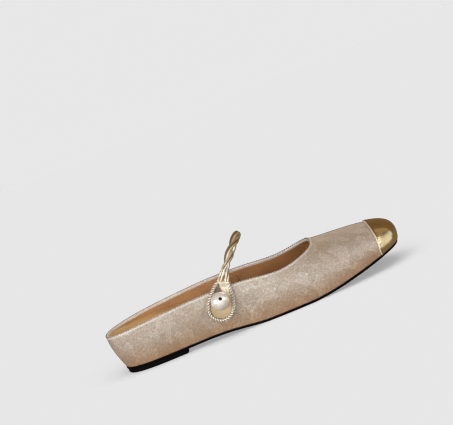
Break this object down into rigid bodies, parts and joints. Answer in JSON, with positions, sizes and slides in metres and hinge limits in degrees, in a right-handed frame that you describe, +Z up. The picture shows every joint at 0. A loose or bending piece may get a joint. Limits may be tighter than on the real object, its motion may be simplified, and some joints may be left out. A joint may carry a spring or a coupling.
{
  "type": "strapped mule shoe",
  "caption": "Backless closed-toe flat mule for the right foot: pale brocade over a low hidden wedge, gold toe cap, twisted instep strap with a pearl button.",
  "frame": {"origin": "on the floor under the middle of the shoe's bounding box", "axes": "+X towards the toe, +Z up, -Y towards the outer side of the foot where the button is"},
  "size_m": [0.2468, 0.09, 0.0703],
  "materials": {
    "outsole_rubber": "matt black sheet rubber",
    "heel_rubber": "matt black rubber",
    "insole_leather": "gold metallic leather",
    "brocade": "champagne tone-on-tone jacquard with a soft sheen",
    "mirror_gold_leather": "mirror gold, glossy",
    "strap_leather": "pale gold metallic leather",
    "tab_leather": "gold metallic leather",
    "braid": "silver-gold twisted cord",
    "pearl": "imitation pearl, glossy"
  },
  "bodies": {
    "root": {"outsole": "outsole_rubber", "heel_pad": "heel_rubber", "insole": "insole_leather", "upper": "brocade", "toe_cap": "mirror_gold_leather", "strap": "strap_leather", "tab": "tab_leather", "tab_rim": "braid", "pearl": "pearl"}
  },
  "joints": []
}
